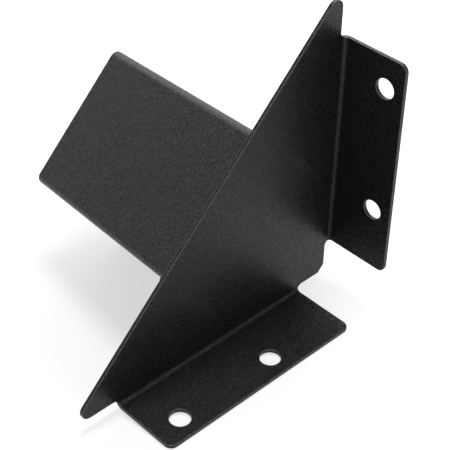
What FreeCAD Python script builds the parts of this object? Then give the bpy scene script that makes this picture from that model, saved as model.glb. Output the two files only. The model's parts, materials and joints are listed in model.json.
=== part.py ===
import FreeCAD, Part
import math
import os
from FreeCAD import Vector

# Platform angle bracket, in millimetres
# The bracket joins the corner of a platform's timber frame to a square post that leans outward.
# Its origin is the point where the inner faces of the plate and of the two flanges would meet:
# the corner of the timber frame sits there.
# The plate stands in the XZ plane with its front face at Y = 0, the side flange has its inner
# face at X = 0, the bottom flange has its inner face at Z = 0, and both flanges reach towards -Y.
# The socket for the post runs off the back of the plate, towards +Y.

# Sheet
sheet = 2.5
bend_radius = 2.5

# Plate
leg_length = 208.0
edge_setback = 3.5
corner_cut = 5.0
tip_radius = 5.5
relief_radius = 3.5

# Flanges
flange_depth = 44.5
flange_start = 26.5
flange_length = 145.0
flange_corner_radius = 5.0

# Bolt holes, set out from the plate's front face and from the two ends of their flange
# The two flanges differ, so that bolts from the two sides pass each other.
bolt_hole_diameter = 12.7
bolt_hole_height = 31.0
side_near_margin = 41.0
side_far_margin = 20.0
bottom_near_margin = 55.0
bottom_far_margin = 19.0

# Socket for the post
post_width = 89.0
post_clearance = 2.0
socket_wall = 2.5
socket_corner_radius = 5.0
socket_length = 144.0
socket_lean = 10.0
socket_inset = 2.5
socket_offset = 2.0

# Cross holes that hold the post in the socket
post_hole_diameter = 10.0
post_hole_from_mouth = 35.0
post_hole_spacing = 70.0

# Weld between the socket and the back of the plate
weld_leg = 4.0
weld_lip = 0.3
weld_upper_start = 14.0
weld_fold_gap = 1.0

# Sizes that follow from the ones above
flange_end = flange_start + flange_length
socket_inside = post_width + post_clearance
socket_width = socket_inside + 2 * socket_wall
lean = math.radians(socket_lean)
beyond = 2 * (leg_length + socket_length)

# Directions of the socket
along_edge = Vector(1, 0, 1).normalize()
to_corner = Vector(1, 0, -1).normalize()
backward = Vector(0, 1, 0)
socket_axis = backward * math.cos(lean) + to_corner * math.sin(lean)
socket_depth = to_corner * math.cos(lean) - backward * math.sin(lean)
edge_middle = Vector(-leg_length / 2, sheet, leg_length / 2)
socket_middle = edge_middle + along_edge * socket_offset
socket_foot = socket_middle + to_corner * socket_inset


def rounded_outline(corners, place):
    """Closed wire through the corners (u, v, radius), with each corner rounded by its radius."""
    edges = []
    starts = []
    ends = []
    count = len(corners)
    for index, (u, v, radius) in enumerate(corners):
        corner = place(u, v)
        before = place(*corners[index - 1][:2])
        after = place(*corners[(index + 1) % count][:2])
        if radius == 0:
            starts.append(corner)
            ends.append(corner)
            continue
        back = (before - corner).normalize()
        ahead = (after - corner).normalize()
        half_angle = back.getAngle(ahead) / 2
        reach = radius / math.tan(half_angle)
        middle = (back + ahead).normalize()
        centre = corner + middle * (radius / math.sin(half_angle))
        starts.append(corner + back * reach)
        ends.append(corner + ahead * reach)
        edges.append(Part.Arc(starts[-1], centre - middle * radius, ends[-1]).toShape())
    for index in range(count):
        following = starts[(index + 1) % count]
        edges.append(Part.makeLine(ends[index], following))
    return Part.Wire(Part.__sortEdges__(edges))


def block(low, high):
    """Box between two opposite corners."""
    size = high - low
    return Part.makeBox(size.x, size.y, size.z, low)


def front_outline():
    """The sheet as seen from the front: the plate with its two tips, and the edges of both flanges."""
    corners = [
        (edge_setback - leg_length, edge_setback, tip_radius),
        (-flange_end, edge_setback, relief_radius),
        (-flange_end, -sheet, 0),
        (-flange_start, -sheet, 0),
        (-flange_start, edge_setback, relief_radius),
        (-edge_setback - corner_cut, edge_setback, 0),
        (-edge_setback, edge_setback + corner_cut, 0),
        (-edge_setback, flange_start, relief_radius),
        (sheet, flange_start, 0),
        (sheet, flange_end, 0),
        (-edge_setback, flange_end, relief_radius),
        (-edge_setback, leg_length - edge_setback, tip_radius),
    ]
    return rounded_outline(corners, lambda x, z: Vector(x, -bend_radius, z))


def front_prism():
    """Everything that lies behind the front outline, through the plate and its bends."""
    return Part.Face(front_outline()).extrude(Vector(0, bend_radius + sheet, 0))


def flat_region(front, back, gap=0):
    """The space over the flat of the plate, up to a gap before where the bends begin."""
    reach = bend_radius + gap
    return block(Vector(-beyond, front, reach), Vector(-reach, back, beyond))


def side_bend(prism):
    """Quarter bend between the plate and the side flange, cut by the reliefs at its ends."""
    foot = Vector(-bend_radius, -bend_radius, flange_start - relief_radius)
    length = flange_length + 2 * relief_radius
    upward = Vector(0, 0, 1)
    outside = Part.makeCylinder(bend_radius + sheet, length, foot, upward, 90)
    inside = Part.makeCylinder(bend_radius, length, foot, upward)
    return outside.cut(inside).common(prism)


def side_flange(near_margin, far_margin):
    """Flat wall of the side flange, with rounded free corners and two bolt holes."""
    corners = [
        (-bend_radius, flange_start, 0),
        (-bend_radius, flange_end, 0),
        (-flange_depth, flange_end, flange_corner_radius),
        (-flange_depth, flange_start, flange_corner_radius),
    ]
    outline = rounded_outline(corners, lambda y, z: Vector(0, y, z))
    wall = Part.Face(outline).extrude(Vector(sheet, 0, 0))
    for place in (flange_start + near_margin, flange_end - far_margin):
        centre = Vector(0, -bolt_hole_height, place)
        hole = Part.makeCylinder(bolt_hole_diameter / 2, sheet, centre, Vector(1, 0, 0))
        wall = wall.cut(hole)
    return wall


def folded_plate():
    """One sheet: a three-cornered plate with a flange folded forward along each short side."""
    prism = front_prism()
    plate = prism.common(flat_region(0, sheet))
    bend = side_bend(prism)
    side = side_flange(side_near_margin, side_far_margin)
    bottom = side_flange(bottom_near_margin, bottom_far_margin)
    mirror_plane = Vector(1, 0, 1)
    lower_bend = bend.mirror(Vector(0, 0, 0), mirror_plane)
    lower_flange = bottom.mirror(Vector(0, 0, 0), mirror_plane)
    return plate.fuse([bend, side, lower_bend, lower_flange]).removeSplitter()


def socket_section(shrink, radius, distance):
    """Rounded square across the socket, set in from its outside, at a distance along its axis."""
    half = socket_width / 2 - shrink
    near = shrink
    far = socket_width - shrink
    corners = [(-half, near, radius), (half, near, radius), (half, far, radius), (-half, far, radius)]

    def place(across, deep):
        start = socket_foot + socket_axis * distance
        return start + along_edge * across + socket_depth * deep

    return Part.Face(rounded_outline(corners, place))


def behind_plate(shape):
    """The part of a shape that lies behind the plate's back face."""
    corner = Vector(-beyond, sheet - beyond, -beyond)
    return shape.cut(block(corner, Vector(beyond, sheet, beyond)))


def socket_outside():
    """The socket's outer form as a solid, cut to sit flat on the back of the plate."""
    overrun = sheet
    section = socket_section(0, socket_corner_radius, -overrun)
    return behind_plate(section.extrude(socket_axis * (socket_length + overrun)))


def socket_hollow():
    """The space for the post, open at the socket's mouth and closed by the plate."""
    overrun = sheet
    inner_radius = socket_corner_radius - socket_wall
    section = socket_section(socket_wall, inner_radius, -overrun)
    return behind_plate(section.extrude(socket_axis * (socket_length + 2 * overrun)))


def post_socket():
    """Square tube for the post, mitred to its lean, with holes through its two hidden side walls."""
    tube = socket_outside().cut(socket_hollow())
    for step in (0, 1):
        distance = socket_length - post_hole_from_mouth - step * post_hole_spacing
        middle = socket_foot + socket_axis * distance + socket_depth * (socket_width / 2)
        start = middle - along_edge * socket_width
        drill = Part.makeCylinder(post_hole_diameter / 2, 2 * socket_width, start, along_edge)
        tube = tube.cut(drill)
    return tube


def weld_outline(grow, lift):
    """Outline of the weld round the socket's foot, at a height above the plate's back face."""
    half = socket_width / 2 + grow
    slide = lift * math.tan(lean)
    near = socket_inset + slide - grow
    far = socket_inset + slide + socket_width / math.cos(lean) + grow
    radius = socket_corner_radius + grow
    corners = [(-half, near, radius), (half, near, radius), (half, far, radius), (-half, far, radius)]

    def place(across, deep):
        return socket_middle + backward * lift + along_edge * across + to_corner * deep

    return rounded_outline(corners, place)


def edge_aligned_block(low_across, high_across, low_deep, high_deep):
    """Block behind the plate, set along its sloping edge, as high as the weld."""
    corners = [(low_across, low_deep, 0), (high_across, low_deep, 0)]
    corners += [(high_across, high_deep, 0), (low_across, high_deep, 0)]

    def place(across, deep):
        return socket_middle + along_edge * across + to_corner * deep

    return Part.Face(rounded_outline(corners, place)).extrude(backward * weld_leg)


def weld_bead():
    """Fillet weld along the two side walls and the back wall. The wall at the sloping edge has
    none, apart from where the lower run turns the corner."""
    ring = Part.makeLoft([weld_outline(weld_leg, 0), weld_outline(weld_lip, weld_leg)], True, True)
    ring = ring.cut(socket_outside())
    corner_turn = socket_width / 2 - socket_corner_radius
    outside = socket_width / 2 + 2 * weld_leg
    run = edge_aligned_block(-outside, outside, weld_upper_start, leg_length)
    lower_turn = edge_aligned_block(-outside, -corner_turn, 0, weld_upper_start)
    runs = ring.common(run.fuse(lower_turn).removeSplitter())
    return runs.common(flat_region(sheet, sheet + weld_leg, weld_fold_gap))


def save(name, shape):
    """Writes one piece and prints its size."""
    box = shape.optimalBoundingBox(True, False)
    shape.exportStep("parts/" + name + ".step")
    print(name, "solids", len(shape.Solids), "valid", shape.isValid(), "volume", round(shape.Volume, 1))
    print("  from", round(box.XMin, 2), round(box.YMin, 2), round(box.ZMin, 2))
    print("  to", round(box.XMax, 2), round(box.YMax, 2), round(box.ZMax, 2))


os.makedirs("parts", exist_ok=True)
save("folded_plate", folded_plate())
save("post_socket", post_socket())
save("weld_bead", weld_bead())
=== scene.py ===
# %% [markdown]
# A platform angle bracket, built as a workshop builds it
#
# The real bracket joins the corner of a timber platform to a square post. A laser cuts one flat
# blank, a press folds two flanges forward out of it, a square tube is mitred and welded to its
# back, and the whole thing gets a satin black powder coat. This lesson follows the same order:
# blank, folds, tube, weld, coat. The imported model is loaded first. It is the frame that every
# piece has to sit in, and its box is kept: the lamps aim at its middle.

# %% Load the imported model
import json
import math

import bmesh
import bpy
from mathutils import Matrix, Vector, noise


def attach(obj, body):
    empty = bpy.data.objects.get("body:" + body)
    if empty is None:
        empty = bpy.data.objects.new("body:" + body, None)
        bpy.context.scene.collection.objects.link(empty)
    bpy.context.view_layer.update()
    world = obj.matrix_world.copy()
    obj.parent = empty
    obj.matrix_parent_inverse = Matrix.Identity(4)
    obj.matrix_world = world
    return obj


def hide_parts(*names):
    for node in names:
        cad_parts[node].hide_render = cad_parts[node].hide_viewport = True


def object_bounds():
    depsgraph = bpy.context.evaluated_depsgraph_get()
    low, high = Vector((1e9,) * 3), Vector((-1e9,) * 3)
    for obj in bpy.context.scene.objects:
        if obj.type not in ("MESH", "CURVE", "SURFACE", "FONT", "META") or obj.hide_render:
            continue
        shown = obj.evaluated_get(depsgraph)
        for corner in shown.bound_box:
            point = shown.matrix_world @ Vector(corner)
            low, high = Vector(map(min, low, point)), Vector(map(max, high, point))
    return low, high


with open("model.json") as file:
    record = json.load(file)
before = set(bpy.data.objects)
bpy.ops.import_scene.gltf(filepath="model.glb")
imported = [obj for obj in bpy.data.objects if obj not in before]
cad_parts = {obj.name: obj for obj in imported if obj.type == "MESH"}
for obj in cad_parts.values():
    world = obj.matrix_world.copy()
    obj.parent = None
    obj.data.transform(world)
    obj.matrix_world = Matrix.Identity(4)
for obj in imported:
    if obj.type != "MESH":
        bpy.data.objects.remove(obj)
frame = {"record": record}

cad_low, cad_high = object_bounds()
mounts = {mount["name"]: mount for mount in frame["record"]["mounts"]}
print("CAD box", [round(side, 4) for side in cad_high - cad_low], "mounts", len(mounts))

# %% [markdown]
# The sheet and its blank
#
# Everything that a drawing of the bracket would dimension is named once, in metres. The front
# face of the plate is Y = 0, the flanges reach towards -Y and the tube runs towards +Y. The
# bolt holes come from the record's mounts, so they stay where a bolt expects them.

# %% Sizes of the sheet
sheet = 0.0025
bend_radius = 0.0025
leg_length = 0.208
edge_setback = 0.0035
corner_cut = 0.005
tip_radius = 0.0055
relief_radius = 0.0035
flange_depth = 0.0445
flange_start = 0.0265
flange_end = 0.1715
flange_corner_radius = 0.005
edge_rounding = 0.00045
print("plate", leg_length, "flange", round(flange_end - flange_start, 4), "x", flange_depth)

# %% [markdown]
# Outlines with round corners
#
# A laser path is straight lines joined by arcs. A Bezier curve could follow it, but its handles
# only come near to an arc. One helper turns a short list of corners, each with its own radius,
# into points instead: it finds the arc's centre on the corner's bisector and walks round it.
# Straight stretches need no points of their own, so the mesh stays light.

# %% A rounded outline
def rounded_outline(corners, steps=8):
    """Points round a closed outline whose corners are (u, v, radius)."""
    points = []
    count = len(corners)
    for index, (u, v, radius) in enumerate(corners):
        corner = Vector((u, v))
        if radius == 0:
            points.append(corner)
            continue
        back = (Vector(corners[index - 1][:2]) - corner).normalized()
        ahead = (Vector(corners[(index + 1) % count][:2]) - corner).normalized()
        half_angle = back.angle(ahead) / 2
        centre = corner + (back + ahead).normalized() * (radius / math.sin(half_angle))
        start = corner + back * (radius / math.tan(half_angle)) - centre
        end = corner + ahead * (radius / math.tan(half_angle)) - centre
        sweep = math.atan2(start.cross(end), start.dot(end))
        for step in range(steps + 1):
            turn = sweep * step / steps
            spoke = Vector((start.x * math.cos(turn) - start.y * math.sin(turn),
                            start.x * math.sin(turn) + start.y * math.cos(turn)))
            points.append(centre + spoke)
    return points


def hole_outline(u, v, radius, steps=56):
    """Points round a hole, clockwise, so that the material lies to the left as on the outline."""
    turns = [-math.tau * step / steps for step in range(steps)]
    return [Vector((u + radius * math.cos(turn), v + radius * math.sin(turn))) for turn in turns]


triangle = [(0, 0, 0.1), (1, 0, 0.1), (0, 1, 0.1)]
print("a triangle with rounded corners takes", len(rounded_outline(triangle)), "points")

# %% [markdown]
# How long the blank is
#
# A fold uses up material. The layer that neither stretches nor shrinks lies a little inside the
# middle of the sheet, so the flat strip that becomes the quarter turn is measured there. With
# that length known, the flange and its holes can be marked out on the flat sheet, as the
# fabricator does. The folded shape could be modelled at once, but from one flat blank the
# notches, bends and holes fit together by themselves. The side flange goes to the right of the
# blank and the bottom flange below.

# %% Mark out the blank
neutral_layer = 0.4
bend_length = math.pi / 2 * (bend_radius + neutral_layer * sheet)


def on_blank(depth):
    """Distance from the plate's corner, on the flat blank, of a point this deep on a flange."""
    return depth - 2 * bend_radius + bend_length


reach = on_blank(flange_depth)
blank_corners = [
    (edge_setback - leg_length, edge_setback, tip_radius),
    (-flange_end, edge_setback, relief_radius),
    (-flange_end, -reach, flange_corner_radius),
    (-flange_start, -reach, flange_corner_radius),
    (-flange_start, edge_setback, relief_radius),
    (-edge_setback - corner_cut, edge_setback, 0),
    (-edge_setback, edge_setback + corner_cut, 0),
    (-edge_setback, flange_start, relief_radius),
    (reach, flange_start, flange_corner_radius),
    (reach, flange_end, flange_corner_radius),
    (-edge_setback, flange_end, relief_radius),
    (-edge_setback, leg_length - edge_setback, tip_radius),
]
blank_loops = [rounded_outline(blank_corners)]

side_bolts = mounts["side_bolts"]
bottom_bolts = mounts["bottom_bolts"]
bolt_radius = side_bolts["dims"]["hole_r_mm"] / 1000
for side in (-0.5, 0.5):
    height = side_bolts["pos_m"][2] + side * side_bolts["dims"]["spacing_y_mm"] / 1000
    blank_loops.append(hole_outline(on_blank(-side_bolts["pos_m"][1]), height, bolt_radius))
    place = bottom_bolts["pos_m"][0] + side * bottom_bolts["dims"]["spacing_x_mm"] / 1000
    blank_loops.append(hole_outline(place, -on_blank(-bottom_bolts["pos_m"][1]), bolt_radius))
print("blank reaches", round(reach, 5), "past the corner, outlines", len(blank_loops))

# %% [markdown]
# From outline to sheet metal
#
# A laser-cut edge is square, but under a powder coat its two rims look softly rounded, and those
# rims catch the light all round the real part. A bevel modifier could round them. Here each
# outline is instead stepped through the sheet's thickness, drawn in a little at both faces, so
# the rounding is exact round holes and notches too. The two flat faces are then filled. The
# rounded bands are marked as rims on the mesh, because the coat will be shinier there.

# %% The rim of a sheet
def drawn_in(loop, distance):
    """The loop moved into the material, which lies on its left."""
    moved = []
    count = len(loop)
    for index, point in enumerate(loop):
        before = (point - loop[index - 1]).normalized()
        after = (loop[(index + 1) % count] - point).normalized()
        side_before = Vector((-before.y, before.x))
        side_after = Vector((-after.y, after.x))
        middle = (side_before + side_after).normalized()
        moved.append(point + middle * (distance / middle.dot(side_before)))
    return moved


def rim_profile(thickness, rounding, steps=5):
    """(drawn in, height) from one face of a sheet round its edge to the other face."""
    quarter = [math.pi / 2 * step / steps for step in range(steps + 1)]
    lower = [(rounding * (1 - math.sin(turn)), rounding * (1 - math.cos(turn))) for turn in quarter]
    upper = [(inset, thickness - height) for inset, height in reversed(lower)]
    return lower + upper


print("rings through the sheet", len(rim_profile(sheet, edge_rounding)))


# %% A sheet with rounded rims
def bridge(mesh, first, second):
    """Band of faces between two rings of as many points."""
    band = []
    count = len(first)
    for index in range(count):
        following = (index + 1) % count
        corners = (first[index], first[following], second[following], second[index])
        band.append(mesh.faces.new(corners))
    return band


def fill(mesh, rings):
    """Flat face inside the first ring and outside the others."""
    edges = []
    for ring in rings:
        edges += [mesh.edges.get((ring[index - 1], ring[index])) for index in range(len(ring))]
    bmesh.ops.triangle_fill(mesh, edges=edges, use_beauty=True)


def cut_sheet(loops, thickness, rounding):
    """Closed mesh of a flat sheet, standing in the XZ plane with its front face at Y = 0."""
    mesh = bmesh.new()
    rim = mesh.faces.layers.float.new("rim")
    fronts = []
    backs = []
    for loop in loops:
        rings = []
        for inset, height in rim_profile(thickness, rounding):
            rings.append([mesh.verts.new((p.x, height, p.y)) for p in drawn_in(loop, inset)])
        cut_band = len(rings) // 2 - 1
        for index, (first, second) in enumerate(zip(rings, rings[1:])):
            for face in bridge(mesh, first, second):
                face[rim] = 0.0 if index == cut_band else 1.0
        fronts.append(rings[0])
        backs.append(rings[-1])
    fill(mesh, fronts)
    fill(mesh, backs)
    bmesh.ops.recalc_face_normals(mesh, faces=mesh.faces)
    return mesh


plate_mesh = cut_sheet(blank_loops, sheet, edge_rounding)
print("blank faces", len(plate_mesh.faces))

# %% [markdown]
# Folding
#
# Blender's Simple Deform can bend a mesh, but it bends all of it. A press bends only a narrow
# strip, so the sheet is scored with parallel cuts across that strip and every point beyond the
# fold line is moved by hand: inside the strip it turns round the fold's centre, past it the
# flange runs on straight. The rims round the holes and notches ride along and keep their form.

# %% Fold the two flanges
def fold_forward(mesh, outward, steps=14):
    """Folds what lies beyond the fold line forward by a right angle. outward points at it."""
    for step in range(steps + 1):
        line = outward * (bend_length * step / steps - bend_radius)
        parts = mesh.verts[:] + mesh.edges[:] + mesh.faces[:]
        bmesh.ops.bisect_plane(mesh, geom=parts, plane_co=line, plane_no=outward, dist=1e-7)
    for vertex in mesh.verts:
        beyond = vertex.co.dot(outward) + bend_radius
        if beyond <= 0:
            continue
        turn = math.pi / 2 * min(beyond / bend_length, 1)
        straight = max(beyond - bend_length, 0)
        radius = bend_radius + vertex.co.y
        across = radius * math.sin(turn) + straight * math.cos(turn) - bend_radius
        depth = radius * math.cos(turn) - straight * math.sin(turn) - bend_radius
        vertex.co += outward * (across + bend_radius - beyond)
        vertex.co.y = depth


fold_forward(plate_mesh, Vector((1, 0, 0)))
fold_forward(plate_mesh, Vector((0, 0, -1)))
print("folded faces", len(plate_mesh.faces))

# %% [markdown]
# Turning a mesh into a piece
#
# Every piece is handed over in the same way. It becomes an object at the origin, rides on the
# one rigid body, hides its plain CAD node, whose place it takes, and gets its coat's material. Flat
# shading would show each facet of a rim, and plain smooth shading would bend the light on the flat
# faces beside it. Weighted normals let the big flat faces decide, so that they stay flat and the
# narrow rims turn smoothly between them.

# %% Hand over a piece
def loose_edges(mesh):
    """Number of edges that don't join exactly two faces."""
    return sum(1 for edge in mesh.edges if len(edge.link_faces) != 2)


def hand_over(name, mesh, node, material):
    """Makes the object for a finished mesh and ties it to the frame."""
    bmesh.ops.recalc_face_normals(mesh, faces=mesh.faces)
    for face in mesh.faces:
        face.smooth = True
    print(name, "faces", len(mesh.faces), "open edges", loose_edges(mesh))
    data = bpy.data.meshes.new(name)
    mesh.to_mesh(data)
    mesh.free()
    data.materials.append(material)
    piece = bpy.data.objects.new(name, data)
    bpy.context.scene.collection.objects.link(piece)
    weighted = piece.modifiers.new("flat faces stay flat", "WEIGHTED_NORMAL")
    weighted.weight = 80
    weighted.keep_sharp = True
    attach(piece, "root")
    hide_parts(node)
    return piece


# %% [markdown]
# The grain of a powder coat
#
# Powder is sprayed on dry and melts into a tough skin. This one is satin black with a fine sandy
# grain: from a step away an even dark grey, close up a field of tiny bumps that each catch a
# little light. A painted picture of such a grain would show seams and stretch over the bends. A
# noise that follows the place on the piece has its real scale everywhere: Object coordinates are
# in metres, so a grain of 0.8 mm is a scale of 1250. The place is turned at an odd angle first,
# because on a flat face that lies along the noise's own grid the grain is weaker and too regular.

# %% Patterns for the coat
pattern_turn = (0.6, 0.9, 0.4)


def turned_place(tree):
    """Place on the piece in metres, turned so that no flat face lies along the noise's grid."""
    place = tree.nodes.new("ShaderNodeTexCoord")
    turned = tree.nodes.new("ShaderNodeMapping")
    turned.inputs["Rotation"].default_value = pattern_turn
    tree.links.new(place.outputs["Object"], turned.inputs["Vector"])
    return turned.outputs["Vector"]


def noise_pattern(tree, place, scale, detail):
    """Noise between 0 and 1 that follows the place."""
    pattern = tree.nodes.new("ShaderNodeTexNoise")
    pattern.inputs["Scale"].default_value = scale
    pattern.inputs["Detail"].default_value = detail
    tree.links.new(place, pattern.inputs["Vector"])
    return pattern.outputs["Fac"]


def remap(tree, value, source, target, course="LINEAR"):
    """The value moved from one range to another and held within it."""
    ranged = tree.nodes.new("ShaderNodeMapRange")
    ranged.interpolation_type = course
    ranged.inputs["From Min"].default_value = source[0]
    ranged.inputs["From Max"].default_value = source[1]
    ranged.inputs["To Min"].default_value = target[0]
    ranged.inputs["To Max"].default_value = target[1]
    tree.links.new(value, ranged.inputs["Value"])
    return ranged.outputs["Result"]


print("the grain's pattern is turned by", [round(math.degrees(turn)) for turn in pattern_turn])

# %% [markdown]
# What the grain changes
#
# Two noises are used. The fine one is sharpened into separate grains, and one about three times
# as coarse stands for the film that they melted into. The bump takes mostly the grains. A single
# grey with one roughness would look like smooth plastic, so both vary with the noises: a grain is
# a touch lighter than the hollow beside it and reflects more, while the roughness follows the
# film. Over a rounded rim the powder draws back and leaves a thin, smooth and shiny skin, so the
# reflection is raised where the sheet's rims were marked. This gives the light line round the
# edges of the real bracket.

# %% Relief and colour of the grains
film_in_relief = 0.2
hollow_black = (0.0085, 0.0085, 0.0085, 1)
grain_black = (0.0145, 0.0145, 0.0147, 1)


def end_of(ends, identifier):
    """The node's input or output with this identifier, because a Mix node's names repeat."""
    return next(end for end in ends if end.identifier == identifier)


def raise_grains(tree, grains, film, grain_height):
    """Bump from the grains, with a share of the film."""
    relief = tree.nodes.new("ShaderNodeMix")
    relief.data_type = "FLOAT"
    end_of(relief.inputs, "Factor_Float").default_value = film_in_relief
    tree.links.new(grains, end_of(relief.inputs, "A_Float"))
    tree.links.new(film, end_of(relief.inputs, "B_Float"))
    bump = tree.nodes.new("ShaderNodeBump")
    bump.inputs["Strength"].default_value = 1.0
    bump.inputs["Distance"].default_value = grain_height
    tree.links.new(end_of(relief.outputs, "Result_Float"), bump.inputs["Height"])
    return bump.outputs["Normal"]


def colour_grains(tree, grains):
    """Near black, a touch lighter on the grains."""
    tone = tree.nodes.new("ShaderNodeMix")
    tone.data_type = "RGBA"
    end_of(tone.inputs, "A_Color").default_value = hollow_black
    end_of(tone.inputs, "B_Color").default_value = grain_black
    tree.links.new(grains, end_of(tone.inputs, "Factor_Float"))
    return end_of(tone.outputs, "Result_Color")


print("a grain is", round(grain_black[0] / hollow_black[0], 2), "times as light as a hollow")

# %% Shine of the coat
shine_range = (0.155, 0.36)
rim_shine = 0.45


def shine(tree, grains):
    """How strongly the coat reflects: more on a grain, and more again on a rim of the sheet."""
    rim = tree.nodes.new("ShaderNodeAttribute")
    rim.attribute_name = "rim"
    raised = tree.nodes.new("ShaderNodeMath")
    raised.operation = "MULTIPLY_ADD"
    raised.inputs[1].default_value = rim_shine
    tree.links.new(rim.outputs["Fac"], raised.inputs[0])
    tree.links.new(remap(tree, grains, (0, 1), shine_range), raised.inputs[2])
    return raised.outputs[0]


print("specular level", shine_range[0], "to", shine_range[1], "and", rim_shine, "more on a rim")

# %% The coat's material
grain_window = (0.46, 0.66)
film_window = (0.3, 0.7)
film_scale = 0.3
roughness_spread = 0.05


def powder_coat(name, grain_size=0.0008, grain_height=0.00012, roughness=0.29):
    """Satin black powder coat with a fine grain, at its real scale."""
    material = bpy.data.materials.new(name)
    material.use_nodes = True
    tree = material.node_tree
    place = turned_place(tree)
    powder = noise_pattern(tree, place, 1 / grain_size, 1.0)
    film = noise_pattern(tree, place, film_scale / grain_size, 2.0)
    grains = remap(tree, powder, grain_window, (0, 1), "SMOOTHSTEP")
    rough_to_smooth = (roughness + roughness_spread, roughness - roughness_spread)
    coat = tree.nodes["Principled BSDF"].inputs
    tree.links.new(raise_grains(tree, grains, film, grain_height), coat["Normal"])
    tree.links.new(colour_grains(tree, grains), coat["Base Color"])
    tree.links.new(shine(tree, grains), coat["Specular IOR Level"])
    tree.links.new(remap(tree, film, film_window, rough_to_smooth), coat["Roughness"])
    return material


plate_coat = powder_coat("plate coat")
hand_over("bracket_plate", plate_mesh, "folded_plate", plate_coat)

# %% [markdown]
# The socket
#
# The socket is a square steel tube with rounded corners, cut to a slant so that it leans towards
# the plate's clipped corner, and open at its far end for the post. A bevelled cube would give
# corners that turn too tightly at the inside. Rings are used instead: the same rounded square,
# drawn at several insets and distances along the tube's axis, joined into one closed skin. The
# mouth's rim is rounded like the sheet's, and the foot is slid along the axis onto the plate.

# %% Sizes and directions of the socket
socket_inside = 0.091
socket_wall = 0.0025
socket_corner_radius = 0.005
socket_length = 0.144
socket_lean = math.radians(10)
socket_inset = 0.0025
socket_offset = 0.002
mouth_rounding = 0.00045
socket_width = socket_inside + 2 * socket_wall

along_edge = Vector((1, 0, 1)).normalized()
to_corner = Vector((1, 0, -1)).normalized()
backward = Vector((0, 1, 0))
socket_axis = backward * math.cos(socket_lean) + to_corner * math.sin(socket_lean)
socket_depth = to_corner * math.cos(socket_lean) - backward * math.sin(socket_lean)
edge_middle = Vector((-leg_length / 2, sheet, leg_length / 2))
socket_middle = edge_middle + along_edge * socket_offset
socket_foot = socket_middle + to_corner * socket_inset

mouth_middle = socket_foot + socket_axis * socket_length + socket_depth * (socket_width / 2)
mouth_error = (mouth_middle - Vector(mounts["post_mouth"]["pos_m"])).length
print("socket mouth is off its mount by", round(mouth_error * 1000, 4), "mm")


# %% Rings of the tube
def tube_ring(mesh, inset, distance):
    """Ring round the tube at an inset from its outside. distance None puts it on the plate."""
    low = inset
    high = socket_width - inset
    half = socket_width / 2 - inset
    radius = socket_corner_radius - inset
    corners = [(-half, low, radius), (half, low, radius), (half, high, radius), (-half, high, radius)]
    ring = []
    for point in rounded_outline(corners, steps=10):
        start = socket_foot + along_edge * point.x + socket_depth * point.y
        along = (sheet - start.y) / socket_axis.y if distance is None else distance
        ring.append(mesh.verts.new(start + socket_axis * along))
    return ring


def square_tube():
    """Closed mesh of the tube's wall, open at the mouth and cut flat at the plate."""
    mesh = bmesh.new()
    rings = [tube_ring(mesh, 0, None)]
    for inset, below in rim_profile(socket_wall, mouth_rounding):
        rings.append(tube_ring(mesh, below, socket_length - inset))
    rings.append(tube_ring(mesh, socket_wall, None))
    for first, second in zip(rings, rings[1:] + rings[:1]):
        bridge(mesh, first, second)
    bmesh.ops.recalc_face_normals(mesh, faces=mesh.faces)
    return mesh


socket_mesh = square_tube()
print("tube faces", len(socket_mesh.faces), "open edges", loose_edges(socket_mesh))

# %% [markdown]
# Cross holes for the post's bolts
#
# The photograph shows no holes in the wall that faces the camera, but a socket without any could
# not hold its post, so the two side walls that it hides have a pair each. They could be cut with
# plain cylinders. The cutter here is turned like a spool: it flares where it meets each face of
# the wall, and the boolean then leaves a rounded rim, as on the laser-cut holes.

# %% A cutter like a spool
def spool(radius, faces, reach_out, steps=48):
    """Turned cutter along Z, flared by the rim's rounding on the inner side of each face."""
    profile = [(radius + mouth_rounding, -reach_out)]
    for low_face, high_face in (faces, [-face for face in reversed(faces)]):
        for inset, height in rim_profile(high_face - low_face, mouth_rounding, steps=4):
            profile.append((radius + inset, low_face + height))
    profile.append((radius + mouth_rounding, reach_out))
    mesh = bmesh.new()
    rings = []
    for size, height in profile:
        turns = [math.tau * step / steps for step in range(steps)]
        ring = [mesh.verts.new((size * math.cos(t), size * math.sin(t), height)) for t in turns]
        rings.append(ring)
    for first, second in zip(rings, rings[1:]):
        bridge(mesh, first, second)
    mesh.faces.new(list(reversed(rings[0])))
    mesh.faces.new(rings[-1])
    bmesh.ops.recalc_face_normals(mesh, faces=mesh.faces)
    return mesh


post_hole_radius = 0.005
cutter_overrun = 0.001
half_width = socket_width / 2
wall_faces = [-half_width, -half_width + socket_wall]
print("cross holes of", round(2 * post_hole_radius * 1000, 1), "mm")


# %% Cut the cross holes
def as_object(name, mesh):
    """Object for a mesh that is only worked with."""
    data = bpy.data.meshes.new(name)
    mesh.to_mesh(data)
    mesh.free()
    thing = bpy.data.objects.new(name, data)
    bpy.context.scene.collection.objects.link(thing)
    return thing


def cut_away(mesh, cutters):
    """The mesh with each cutter taken out of it."""
    body = as_object("uncut tube", mesh)
    for cutter in cutters:
        cut = body.modifiers.new("cut", "BOOLEAN")
        cut.object = cutter
        cut.solver = "EXACT"
    graph = bpy.context.evaluated_depsgraph_get()
    result = bmesh.new()
    result.from_mesh(body.evaluated_get(graph).to_mesh())
    for thing in [body] + cutters:
        bpy.data.objects.remove(thing)
    return result


cutters = []
for name in ("post_bolt_at_mouth", "post_bolt_at_plate"):
    cutter = as_object(name, spool(post_hole_radius, wall_faces, half_width + cutter_overrun))
    turned = Vector(mounts[name]["axis"]).to_track_quat("Z", "Y").to_matrix().to_4x4()
    cutter.matrix_world = Matrix.Translation(mounts[name]["pos_m"]) @ turned
    cutters.append(cutter)
socket_mesh = cut_away(socket_mesh, cutters)
socket_coat = powder_coat("socket coat")
socket = hand_over("bracket_socket", socket_mesh, "post_socket", socket_coat)

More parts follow.
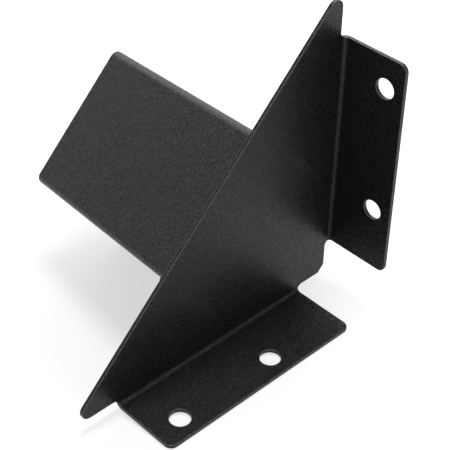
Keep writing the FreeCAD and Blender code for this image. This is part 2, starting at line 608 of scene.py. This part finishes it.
# %% [markdown]
# The weld
#
# The tube is joined to the plate by a fillet weld: a bead that fills the corner between them and
# shows the ripples of the pool as it froze. It runs along both side walls and the back wall, and
# the lower run turns the corner that the photograph shows. A curve with a bevel could stand for
# it, but a bead has to fit the corner exactly. So its path is the outline of the tube's foot, with
# a station every quarter of a millimetre, and each station knows which way is outward. Where the
# plate's edge or a fold is near, there is less room, and the bead is narrower.

# %% Follow the foot of the socket
weld_step = 0.00025


def foot_outline():
    """Evenly spaced (point, outward) pairs round the socket's foot, on the back of the plate."""
    half = socket_width / 2
    far = socket_inset + socket_width / math.cos(socket_lean)
    radius = socket_corner_radius
    corners = [(-half, socket_inset, radius), (half, socket_inset, radius), (half, far, radius),
               (-half, far, radius)]
    outline = rounded_outline(corners, steps=24)
    stations = []
    for index, start in enumerate(outline):
        end = outline[(index + 1) % len(outline)]
        parts = max(1, round((end - start).length / weld_step))
        for part in range(parts):
            stations.append(start.lerp(end, part / parts))
    pairs = []
    for index, point in enumerate(stations):
        ahead = stations[(index + 1) % len(stations)] - stations[index - 1]
        outward = Vector((ahead.y, -ahead.x)).normalized()
        pairs.append((socket_middle + along_edge * point.x + to_corner * point.y,
                      along_edge * outward.x + to_corner * outward.y))
    return pairs


foot = foot_outline()
print("stations round the foot", len(foot))

# %% Room for the bead
weld_leg = 0.004
weld_fold_gap = 0.001


def room_for_weld(point, outward):
    """How far the bead can reach over the plate before its edge or a fold."""
    room = weld_leg
    fold_line = bend_radius + weld_fold_gap
    plate_edge = (edge_middle, to_corner)
    side_fold = (Vector((-fold_line, 0, 0)), Vector((-1, 0, 0)))
    bottom_fold = (Vector((0, 0, fold_line)), Vector((0, 0, 1)))
    for place, inward in (plate_edge, side_fold, bottom_fold):
        nearing = -outward.dot(inward)
        if nearing > 0:
            room = min(room, (point - place).dot(inward) / nearing)
        elif (point - place).dot(inward) < 0:
            room = 0
    return room


full_room = [pair for pair in foot if room_for_weld(*pair) == weld_leg]
print("stations with room for the whole bead", len(full_room))

# %% Split the path into runs
weld_upper_start = 0.014
least_room = 0.0012
fewest_stations = 20


def weld_here(point, outward):
    """Whether the bead runs past this point of the foot."""
    deep = (point - edge_middle).dot(to_corner)
    across = (point - socket_middle).dot(along_edge)
    corner_turn = socket_width / 2 - socket_corner_radius
    on_lower_run = across < -corner_turn
    return (on_lower_run or deep > weld_upper_start) and room_for_weld(point, outward) > least_room


def runs_of(pairs):
    """Splits the closed path into the unbroken runs that are welded."""
    kept = [weld_here(*pair) for pair in pairs]
    first = kept.index(False)
    runs = [[]]
    for offset in range(len(pairs)):
        index = (first + offset) % len(pairs)
        if kept[index]:
            runs[-1].append(pairs[index])
        elif runs[-1]:
            runs.append([])
    return [run for run in runs if len(run) > fewest_stations]


weld_runs = runs_of(foot)
print("weld runs in mm", [round(weld_step * len(run) * 1000, 1) for run in weld_runs])

# %% [markdown]
# The bead and its ripples
#
# A fillet weld is about as wide as it is high, a little fuller than a flat bevel, and its ripples
# bow towards the side that the torch came from. A bump could draw them, but they show on the
# bead's outline too, so they are modelled. Each station gets a curved section from the plate round
# to the socket's wall, with an exponent that would give a flat bevel at 2 and a quarter round at
# 1. The ripples lift and sink it, most in the middle of the bead. A slow noise makes its size
# wander, as a hand does, and the ends run out. The coat has a finer and lower grain here, so that
# it doesn't hide the ripples.

# %% Section of the bead
ripple_pitch = 0.0021
ripple_height = 0.0004
ripple_crest = 0.6
ripple_bow = 0.5
bead_fullness = 1.7
root_reach = 0.0002
root_sink = 0.00002


def bead_section(point, outward, size, along, steps=10):
    """Points of the bead across the corner, from the plate round to the socket's wall."""
    tangent = outward.cross(backward).normalized()
    wall = (socket_axis - tangent * socket_axis.dot(tangent)).normalized()
    leg = min(size, room_for_weld(point, outward))
    section = [point - outward * root_reach - wall * root_sink]
    for step in range(steps + 1):
        turn = math.pi / 2 * step / steps
        crown = math.sin(2 * turn)
        phase = math.pi * (along + crown * ripple_pitch * ripple_bow) / ripple_pitch
        ripple = crown * ripple_height * (abs(math.sin(phase)) ** ripple_crest - ripple_crest)
        over = leg * math.cos(turn) ** bead_fullness
        up = size * math.sin(turn) ** bead_fullness
        push = (outward + wall).normalized() * ripple
        section.append(point + outward * over + wall * up + push)
    return section


print("points in a section", len(bead_section(*weld_runs[0][0], weld_leg, 0)))

# %% Lay the bead
end_taper = 0.003
end_size = 0.2
wander_share = 0.06
wander_rate = 140
largest_share = 0.96


def bead_size(point, along, length):
    """Leg of the bead at this distance along a run: full size, with run-out ends."""
    inside = min(along, length - along) / end_taper
    taper = math.sqrt(max(end_size ** 2, 1 - max(0, 1 - inside) ** 2))
    wander = 1 + wander_share * noise.noise(point * wander_rate)
    return weld_leg * taper * wander * largest_share


def weld_mesh(runs):
    """Closed mesh of all the runs."""
    mesh = bmesh.new()
    for run in runs:
        length = weld_step * (len(run) - 1)
        rings = []
        for index, (point, outward) in enumerate(run):
            along = weld_step * index
            size = bead_size(point, along, length)
            ring = [mesh.verts.new(place) for place in bead_section(point, outward, size, along)]
            rings.append(ring)
        for first, second in zip(rings, rings[1:]):
            bridge(mesh, first, second)
        mesh.faces.new(rings[0])
        mesh.faces.new(list(reversed(rings[-1])))
    return mesh


weld_coat = powder_coat("weld coat", grain_size=0.0005, grain_height=0.00005)
hand_over("bracket_weld", weld_mesh(weld_runs), "weld_bead", weld_coat)

# %% [markdown]
# How the bracket lies
#
# Set down, the bracket rests on the front edge of its bottom flange and on the lowest corner of
# its socket. The record keeps it square to its own axes, so here the floor is tipped instead,
# until it touches both. A floor hinged along the flange's front edge meets the socket at the
# point with the steepest line to that edge, and the mesh is searched for it.

# %% The floor that touches both contacts
floor_size = 3.0
floor_gap = 0.0001
flange_contact = Vector((0, -flange_depth, -sheet))


def lowest_contact(piece):
    """Point of the piece that a floor hinged at the flange's front edge would touch first."""
    places = [vertex.co for vertex in piece.data.vertices if vertex.co.y > 0]
    return max(places, key=lambda p: (flange_contact.z - p.z) / (p.y - flange_contact.y))


socket_contact = lowest_contact(socket)
drop = flange_contact.z - socket_contact.z
floor_tilt = math.atan2(drop, socket_contact.y - flange_contact.y)
print("floor tips by", round(math.degrees(floor_tilt), 2), "degrees")

floor_mesh = bmesh.new()
bmesh.ops.create_grid(floor_mesh, x_segments=8, y_segments=8, size=floor_size)
floor = as_object("floor", floor_mesh)
floor.rotation_euler = (-floor_tilt, 0, 0)
floor.location = flange_contact - Vector((0, 0, floor_gap))

# %% [markdown]
# White behind the bracket, with its shadow kept
# The photograph is a product shot on white. Lamps strong enough to turn a floor white would also
# grey the black coat. So the lamps stay calm on a plain grey floor, and white is added to it only
# for rays that show the background: those that the camera sees, and those mirrored or let
# through by a piece. Under the bracket less white is added. This is a painted shade round the cast
# shadow, which keeps that shadow and makes it deeper, and the rest of the floor rises to plain
# white. Light Path tells the kinds of rays apart.

# %% White for the background alone
# Painted shade: within this reach of the shadow's middle less white is added, so the floor is darker
# there.
shadow_middle = (-0.1, 0.12, 0)
painted_shade_reach = (0.08, 0.35)
added_white = (0.64, 1.0)


def background_rays(tree):
    """Node output that is 1 for rays that are seen, mirrored or pass through glass, else 0."""
    sight = tree.nodes.new("ShaderNodeLightPath")
    shown = sight.outputs["Is Camera Ray"]
    for kind in ("Is Glossy Ray", "Is Transmission Ray"):
        either = tree.nodes.new("ShaderNodeMath")
        either.operation = "MAXIMUM"
        tree.links.new(shown, either.inputs[0])
        tree.links.new(sight.outputs[kind], either.inputs[1])
        shown = either.outputs[0]
    return shown


def white_with_painted_shade(tree):
    """White to add for background rays, weaker near the shadow's middle as a painted shade, by the
    distance on the floor.
    """
    place = tree.nodes.new("ShaderNodeTexCoord")
    distance = tree.nodes.new("ShaderNodeVectorMath")
    distance.operation = "DISTANCE"
    distance.inputs[1].default_value = shadow_middle
    tree.links.new(place.outputs["Object"], distance.inputs[0])
    level = remap(tree, distance.outputs["Value"], painted_shade_reach, added_white)
    strength = tree.nodes.new("ShaderNodeMath")
    strength.operation = "MULTIPLY"
    tree.links.new(background_rays(tree), strength.inputs[0])
    tree.links.new(level, strength.inputs[1])
    return strength.outputs[0]


print("white added under the bracket", added_white[0], "and further out", added_white[1])

# %% Paint the floor
floor_grey = (0.36, 0.36, 0.36, 1)
white = (1, 1, 1, 1)
floor_paint = bpy.data.materials.new("pale floor")
floor_paint.use_nodes = True
floor_tree = floor_paint.node_tree
floor_shader = floor_tree.nodes["Principled BSDF"]
floor_shader.inputs["Base Color"].default_value = floor_grey
floor_shader.inputs["Roughness"].default_value = 0.8
floor_shader.inputs["Specular IOR Level"].default_value = 0.1
floor_glow = floor_tree.nodes.new("ShaderNodeEmission")
floor_glow.inputs["Color"].default_value = white
floor_tree.links.new(white_with_painted_shade(floor_tree), floor_glow.inputs["Strength"])
floor_sum = floor_tree.nodes.new("ShaderNodeAddShader")
floor_tree.links.new(floor_shader.outputs["BSDF"], floor_sum.inputs[0])
floor_tree.links.new(floor_glow.outputs["Emission"], floor_sum.inputs[1])
floor_tree.links.new(floor_sum.outputs["Shader"], floor_tree.nodes["Material Output"].inputs["Surface"])
floor.data.materials.append(floor_paint)
print("floor paint has", len(floor_tree.nodes), "nodes")

# %% [markdown]
# White surroundings
#
# A black coat shows little of its own colour. What shapes it is the reflection of pale walls all
# round, as in a white tent. An image of a studio could be wrapped round the scene, but an even
# white is enough. It is plain white where it is seen or mirrored, and a weak fill where it only
# lights, so that the shaded sides stay dark.

# %% The world
world_levels = (0.08, 1.0)
world = bpy.data.worlds.new("white surroundings")
bpy.context.scene.world = world
world.use_nodes = True
world_tree = world.node_tree
world_light = world_tree.nodes["Background"]
world_light.inputs["Color"].default_value = white
world_strength = remap(world_tree, background_rays(world_tree), (0, 1), world_levels)
world_tree.links.new(world_strength, world_light.inputs["Strength"])
print("world lights at", world_levels[0], "and shows at", world_levels[1])

# %% [markdown]
# Three soft lamps
#
# A point lamp would give hard shadows and show in the coat as a small spot, so all three are area
# lamps. A long key lamp, behind and to the right, lights the bottom flange and is mirrored as the
# light band along the socket's upper bend. A smaller one overhead casts the shadow under the
# socket. A weak one at the front left is there for the sheet's rims, which mirror it as thin
# lines.

# %% The lamps
lamp_distance = 1.2
object_middle = (cad_low + cad_high) / 2


def soft_lamp(name, offset, width, height, power):
    """Rectangular area lamp at an offset from the object's middle, at which it points."""
    light = bpy.data.lights.new(name, "AREA")
    light.shape = "RECTANGLE"
    light.size = width
    light.size_y = height
    light.energy = power
    lamp = bpy.data.objects.new(name, light)
    lamp.location = object_middle + offset
    lamp.rotation_mode = "QUATERNION"
    lamp.rotation_quaternion = (object_middle - lamp.location).to_track_quat("-Z", "Y")
    bpy.context.scene.collection.objects.link(lamp)
    print(name, width, "x", height, "m,", power, "W")


key_offset = Vector((0.45, 0.68, 0.57)).normalized() * lamp_distance
rim_offset = Vector((-0.52, -0.98, 0.45))
overhead_offset = Vector((0.1, 0.05, lamp_distance))
soft_lamp("key lamp", key_offset, width=1.7, height=0.7, power=10)
soft_lamp("rim lamp", rim_offset, width=0.5, height=0.5, power=3)
soft_lamp("overhead lamp", overhead_offset, width=0.4, height=0.4, power=11)

# %% [markdown]
# Camera
#
# The bracket's edges, folds and holes were measured in the photograph, and the camera was fitted
# to them: it looks down at a little over 38 degrees from the front left, with a long lens, and is
# tipped by less than a degree. A plain matrix would hold the same view, but angles, an aim and a
# distance can be read and changed.

# %% Place the camera
camera_azimuth = math.radians(-43.76)
camera_elevation = math.radians(38.47)
camera_roll = math.radians(0.88)
camera_aim = Vector((-0.0767, 0.01422, 0.07055))
camera_distance = 0.7326
image_width = 450
focal_pixels = 1269.2

camera_data = bpy.data.cameras.new("camera")
camera_data.sensor_width = 36
camera_data.lens = camera_data.sensor_width * focal_pixels / image_width
camera = bpy.data.objects.new("camera", camera_data)
towards_camera = Vector((math.sin(camera_azimuth) * math.cos(camera_elevation),
                         -math.cos(camera_azimuth) * math.cos(camera_elevation),
                         math.sin(camera_elevation)))
camera.location = camera_aim + towards_camera * camera_distance
level = (-towards_camera).to_track_quat("-Z", "Y").to_matrix()
camera.rotation_mode = "QUATERNION"
camera.rotation_quaternion = (level @ Matrix.Rotation(camera_roll, 3, "Z")).to_quaternion()
bpy.context.scene.collection.objects.link(camera)
bpy.context.scene.camera = camera
bpy.context.scene.view_settings.view_transform = "Standard"
print("camera at", [round(value, 4) for value in camera.location], "lens", round(camera_data.lens, 1))
